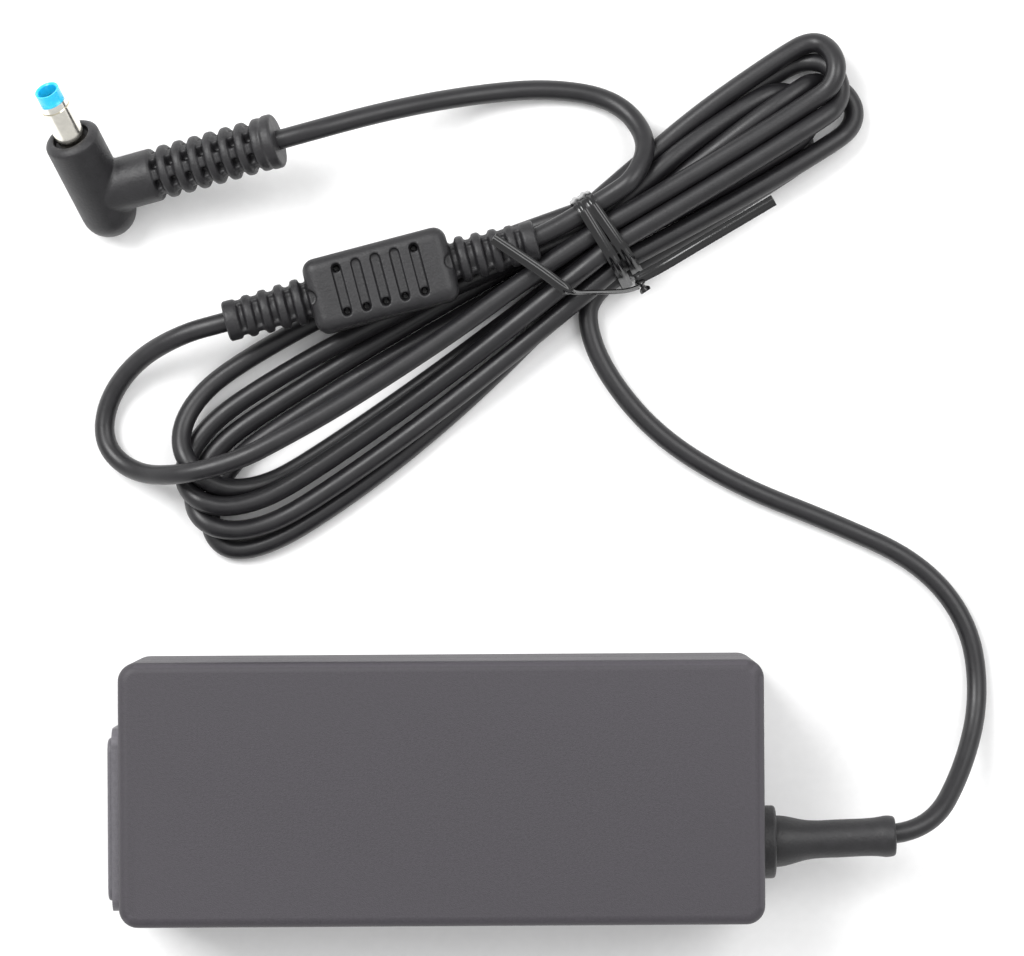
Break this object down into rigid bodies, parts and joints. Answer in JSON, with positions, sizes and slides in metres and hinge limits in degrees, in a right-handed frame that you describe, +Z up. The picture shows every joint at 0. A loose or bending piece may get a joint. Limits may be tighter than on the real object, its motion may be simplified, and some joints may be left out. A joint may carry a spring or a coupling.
{
  "type": "laptop power adapter",
  "caption": "Flat mains power brick with a cloverleaf inlet and a thin output cord wound in a tied hank, with a ferrite block and a right-angle barrel plug.",
  "frame": {"origin": "on the table, 0.4 mm on the inlet side of the middle of the housing with its inlet bezel", "axes": "+X from the mains inlet to the output cord, +Y towards the hank of cord, +Z up"},
  "size_m": [0.1433, 0.1322, 0.0265],
  "materials": {
    "case_plastic": "fine satin grain",
    "label_film": "smooth film",
    "inlet_plastic": "satin",
    "pin_brass": "bright",
    "board_laminate": "laminate",
    "insulating_film": "translucent film",
    "fuse_plastic": "gloss",
    "varistor_blue": "dipped",
    "capacitor_yellow": "moulded box",
    "core_green": "coated",
    "copper_wire": "enamelled",
    "chip_epoxy": "moulded epoxy",
    "capacitor_sleeve": "shrunk sleeve",
    "spreader_aluminium": "rolled",
    "screw_steel": "zinc plated",
    "ferrite_grey": "sintered",
    "bobbin_black": "moulded",
    "winding_tape": "wrapped tape",
    "cord_pvc": "satin jacket",
    "tie_pvc": "glossy ribbon",
    "overmould_pvc": "fine matt grain",
    "nickel_plate": "bright plating",
    "insulator_black": "moulded",
    "tip_blue": "bright blue",
    "gold_plate": "gold flash",
    "wire_black": "insulated",
    "wire_white": "insulated",
    "wire_blue": "insulated"
  },
  "bodies": {
    "root": {"bridge_rectifier": "chip_epoxy", "bulk_capacitor": "capacitor_sleeve", "choke_core": "core_green", "choke_windings": "copper_wire", "circuit_board": "board_laminate", "control_chip": "chip_epoxy", "cord_boot": "cord_pvc", "cord_brick_lead": "cord_pvc", "cord_ferrite_run": "cord_pvc", "cord_hank": "cord_pvc", "cord_outer_loop": "cord_pvc", "cord_plug_lead": "cord_pvc", "ferrite_core": "ferrite_grey", "ferrite_overmould": "overmould_pvc", "fuse": "fuse_plastic", "inlet_pin_earth": "pin_brass", "inlet_pin_live": "pin_brass", "inlet_pin_neutral": "pin_brass", "inlet_socket": "inlet_plastic", "insulating_sheet": "insulating_film", "lower_housing": "case_plastic", "optocoupler": "chip_epoxy", "output_capacitors": "capacitor_sleeve", "output_choke": "ferrite_grey", "output_rectifier": "chip_epoxy", "output_wire_negative": "wire_black", "output_wire_positive": "wire_white", "output_wire_signal": "wire_blue", "plug_barrel": "nickel_plate", "plug_inner_contact": "nickel_plate", "plug_insulator": "insulator_black", "plug_overmould": "overmould_pvc", "plug_pin": "gold_plate", "plug_pin_base": "insulator_black", "plug_tip_ring": "tip_blue", "primary_heat_spreader": "spreader_aluminium", "primary_switch": "chip_epoxy", "rating_label": "label_film", "secondary_heat_spreader": "spreader_aluminium", "spreader_screws": "screw_steel", "transformer_bobbin": "bobbin_black", "transformer_core": "ferrite_grey", "transformer_winding": "winding_tape", "twist_tie": "tie_pvc", "upper_housing": "case_plastic", "varistor": "varistor_blue", "x_capacitor": "capacitor_yellow", "y_capacitor": "varistor_blue"}
  },
  "joints": []
}
